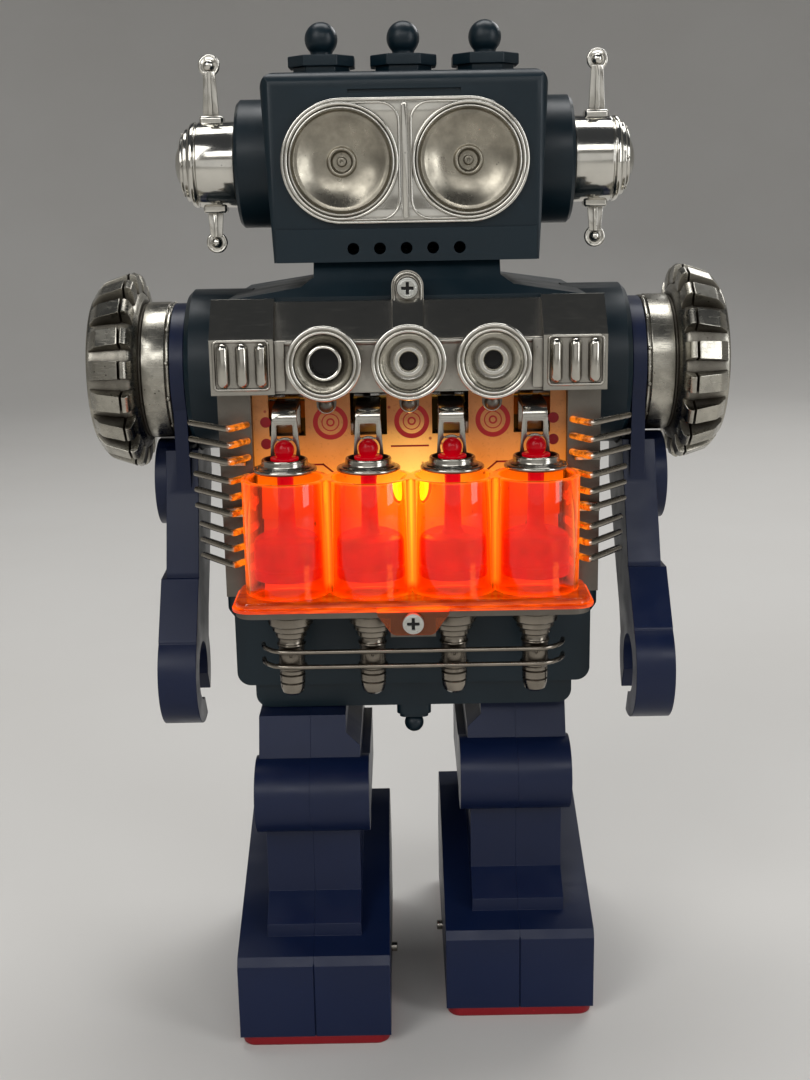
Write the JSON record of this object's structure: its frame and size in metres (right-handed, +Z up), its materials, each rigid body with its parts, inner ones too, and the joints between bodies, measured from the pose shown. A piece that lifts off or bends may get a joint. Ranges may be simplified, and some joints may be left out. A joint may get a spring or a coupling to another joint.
{
  "type": "walking toy robot",
  "caption": "Battery toy robot that shuffles on rollers, with swinging arms, turning ear aerials and a lit piston engine in its chest.",
  "frame": {"origin": "on the surface the soles stand on, at the centre of the bounding box", "axes": "+Z up, -Y towards the robot's front, +X towards the robot's left side"},
  "size_m": [0.1828, 0.105, 0.2844],
  "materials": {
    "slate_plastic": "moulded, slate blue-green, fine satin",
    "navy_plastic": "moulded, navy blue, slightly waxy",
    "plated_plastic": "vacuum-metallised chrome on plastic, worn",
    "satin_plated": "dull metallised silver, hazed",
    "amber_plastic": "clear amber, lit from behind",
    "red_plastic": "clear red",
    "red_sole": "dark red",
    "printed_card": "printed foil card",
    "zinc_steel": "zinc-plated steel",
    "nylon": "natural nylon",
    "black_plastic": "black",
    "lamp_glass": "glass bulb",
    "cell_sleeve": "printed battery sleeve",
    "fibre": "brown fibre board"
  },
  "bodies": {
    "torso": {"head_front": "slate_plastic", "head_rear": "slate_plastic", "eye_bezel": "plated_plastic", "eye_dishes": "satin_plated", "head_knobs": "slate_plastic", "torso_front": "slate_plastic", "torso_rear": "slate_plastic", "hip_plate": "slate_plastic", "engine_frame": "plated_plastic", "intake_horns": "plated_plastic", "engine_card": "printed_card", "cylinder_block": "amber_plastic", "fins_left": "plated_plastic", "fins_right": "plated_plastic", "exhaust_stacks": "plated_plastic", "rocker_shaft": "zinc_steel", "lamp": "lamp_glass", "lamp_socket": "fibre", "screws": "zinc_steel", "batteries": "cell_sleeve", "battery_contacts": "zinc_steel", "motor": "zinc_steel", "chassis": "black_plastic"},
    "battery_door": {"battery_door": "slate_plastic"},
    "switch": {"switch_knob": "slate_plastic"},
    "ear_left": {"ear_pod_left": "plated_plastic", "antennas_left": "plated_plastic"},
    "ear_right": {"ear_pod_right": "plated_plastic", "antennas_right": "plated_plastic"},
    "motor_pinion": {"motor_pinion": "nylon"},
    "reduction_gear": {"reduction_gear": "nylon"},
    "crankshaft": {"crankshaft": "zinc_steel"},
    "idler_gear": {"idler_gear": "nylon"},
    "camshaft": {"camshaft": "zinc_steel"},
    "piston_1": {"piston_1": "red_plastic"},
    "rocker_1": {"rocker_1": "plated_plastic"},
    "piston_2": {"piston_2": "red_plastic"},
    "rocker_2": {"rocker_2": "plated_plastic"},
    "piston_3": {"piston_3": "red_plastic"},
    "rocker_3": {"rocker_3": "plated_plastic"},
    "piston_4": {"piston_4": "red_plastic"},
    "rocker_4": {"rocker_4": "plated_plastic"},
    "arm_shaft_left": {"arm_shaft_left": "zinc_steel"},
    "arm_left": {"arm_left": "navy_plastic", "shoulder_drum_left": "plated_plastic", "shoulder_wheel_left": "plated_plastic"},
    "leg_left": {"leg_left_outer": "navy_plastic", "leg_left_inner": "navy_plastic", "sole_left": "red_sole"},
    "roller_left_front": {"roller_left_front": "black_plastic"},
    "roller_left_rear": {"roller_left_rear": "black_plastic"},
    "arm_shaft_right": {"arm_shaft_right": "zinc_steel"},
    "arm_right": {"arm_right": "navy_plastic", "shoulder_drum_right": "plated_plastic", "shoulder_wheel_right": "plated_plastic"},
    "leg_right": {"leg_right_outer": "navy_plastic", "leg_right_inner": "navy_plastic", "sole_right": "red_sole"},
    "roller_right_front": {"roller_right_front": "black_plastic"},
    "roller_right_rear": {"roller_right_rear": "black_plastic"}
  },
  "joints": [
    {"name": "right_leg_slide", "type": "slide", "parent": "torso", "child": "leg_right", "axis": [0, -1, 0], "range_m": [-0.013, 0]},
    {"name": "left_leg_slide", "type": "slide", "parent": "torso", "child": "leg_left", "axis": [0, -1, 0], "range_m": [0, 0.013]},
    {"name": "right_arm_swing", "type": "hinge", "parent": "torso", "child": "arm_shaft_right", "pos_m": [0, 0.013, 0.189], "axis": [-1, 0, 0], "range_deg": [0, 6.01]},
    {"name": "left_arm_swing", "type": "hinge", "parent": "torso", "child": "arm_shaft_left", "pos_m": [0, 0.013, 0.189], "axis": [-1, 0, 0], "range_deg": [-6.01, 0]},
    {"name": "right_arm_turn", "type": "hinge", "parent": "arm_shaft_right", "child": "arm_right", "pos_m": [0, 0.013, 0.189], "axis": [-1, 0, 0], "range_deg": [-60, 120]},
    {"name": "left_arm_turn", "type": "hinge", "parent": "arm_shaft_left", "child": "arm_left", "pos_m": [0, 0.013, 0.189], "axis": [-1, 0, 0], "range_deg": [-60, 120]},
    {"name": "right_ear_turn", "type": "hinge", "parent": "torso", "child": "ear_right", "pos_m": [0, 0.013, 0.2476], "axis": [1, 0, 0], "continuous": true},
    {"name": "left_ear_turn", "type": "hinge", "parent": "torso", "child": "ear_left", "pos_m": [0, 0.013, 0.2476], "axis": [1, 0, 0], "continuous": true},
    {"name": "crankshaft_spin", "type": "hinge", "parent": "torso", "child": "crankshaft", "pos_m": [0, 0.013, 0.118], "axis": [1, 0, 0], "continuous": true},
    {"name": "idler_spin", "type": "hinge", "parent": "torso", "child": "idler_gear", "pos_m": [0, 0.00526, 0.15152], "axis": [1, 0, 0], "continuous": true},
    {"name": "camshaft_spin", "type": "hinge", "parent": "torso", "child": "camshaft", "pos_m": [0, -0.00194, 0.1827], "axis": [1, 0, 0], "continuous": true},
    {"name": "reduction_spin", "type": "hinge", "parent": "torso", "child": "reduction_gear", "pos_m": [0, 0.03015, 0.12196], "axis": [1, 0, 0], "continuous": true},
    {"name": "motor_spin", "type": "hinge", "parent": "torso", "child": "motor_pinion", "pos_m": [0, 0.02655, 0.13755], "axis": [1, 0, 0], "continuous": true},
    {"name": "piston_1_slide", "type": "slide", "parent": "torso", "child": "piston_1", "axis": [0, 0, 1], "range_m": [-0.0035, 0.0035]},
    {"name": "piston_2_slide", "type": "slide", "parent": "torso", "child": "piston_2", "axis": [0, 0, 1], "range_m": [-0.0035, 0.0035]},
    {"name": "piston_3_slide", "type": "slide", "parent": "torso", "child": "piston_3", "axis": [0, 0, 1], "range_m": [-0.0035, 0.0035]},
    {"name": "piston_4_slide", "type": "slide", "parent": "torso", "child": "piston_4", "axis": [0, 0, 1], "range_m": [-0.0035, 0.0035]},
    {"name": "rocker_1_rock", "type": "hinge", "parent": "torso", "child": "rocker_1", "pos_m": [0, -0.016, 0.172], "axis": [-1, 0, 0], "range_deg": [-10.04, 10.04]},
    {"name": "rocker_2_rock", "type": "hinge", "parent": "torso", "child": "rocker_2", "pos_m": [0, -0.016, 0.172], "axis": [-1, 0, 0], "range_deg": [-10.04, 10.04]},
    {"name": "rocker_3_rock", "type": "hinge", "parent": "torso", "child": "rocker_3", "pos_m": [0, -0.016, 0.172], "axis": [-1, 0, 0], "range_deg": [-10.04, 10.04]},
    {"name": "rocker_4_rock", "type": "hinge", "parent": "torso", "child": "rocker_4", "pos_m": [0, -0.016, 0.172], "axis": [-1, 0, 0], "range_deg": [-10.04, 10.04]},
    {"name": "switch_slide", "type": "slide", "parent": "torso", "child": "switch", "axis": [0, 1, 0], "range_m": [0, 0.005]},
    {"name": "battery_door_hinge", "type": "hinge", "parent": "torso", "child": "battery_door", "pos_m": [0, 0.0456, 0.13], "axis": [-1, 0, 0], "range_deg": [0, 95]},
    {"name": "right_front_roller_spin", "type": "hinge", "parent": "leg_right", "child": "roller_right_front", "pos_m": [0, -0.0045, 0.0071], "axis": [1, 0, 0], "continuous": true},
    {"name": "right_rear_roller_spin", "type": "hinge", "parent": "leg_right", "child": "roller_right_rear", "pos_m": [0, 0.0265, 0.0071], "axis": [1, 0, 0], "continuous": true},
    {"name": "left_front_roller_spin", "type": "hinge", "parent": "leg_left", "child": "roller_left_front", "pos_m": [0, 0.0085, 0.0071], "axis": [1, 0, 0], "continuous": true},
    {"name": "left_rear_roller_spin", "type": "hinge", "parent": "leg_left", "child": "roller_left_rear", "pos_m": [0, 0.0395, 0.0071], "axis": [1, 0, 0], "continuous": true}
  ],
  "couplings": [
    {"joint": "left_leg_slide", "follows": "right_leg_slide", "ratio": -1},
    {"joint": "right_arm_swing", "follows": "right_leg_slide", "rad_per_m": -8.0554},
    {"joint": "left_arm_swing", "follows": "right_leg_slide", "rad_per_m": 8.0554},
    {"joint": "idler_spin", "follows": "crankshaft_spin", "ratio": -0.59259},
    {"joint": "camshaft_spin", "follows": "crankshaft_spin", "ratio": 1.2308},
    {"joint": "reduction_spin", "follows": "crankshaft_spin", "ratio": -2.6667},
    {"joint": "motor_spin", "follows": "crankshaft_spin", "ratio": 8},
    {"joint": "piston_2_slide", "follows": "piston_1_slide", "ratio": -1},
    {"joint": "piston_3_slide", "follows": "piston_1_slide", "ratio": -1},
    {"joint": "piston_4_slide", "follows": "piston_1_slide", "ratio": 1},
    {"joint": "rocker_1_rock", "follows": "piston_1_slide", "rad_per_m": 50},
    {"joint": "rocker_2_rock", "follows": "piston_1_slide", "rad_per_m": -50},
    {"joint": "rocker_3_rock", "follows": "piston_1_slide", "rad_per_m": -50},
    {"joint": "rocker_4_rock", "follows": "piston_1_slide", "rad_per_m": 50}
  ]
}
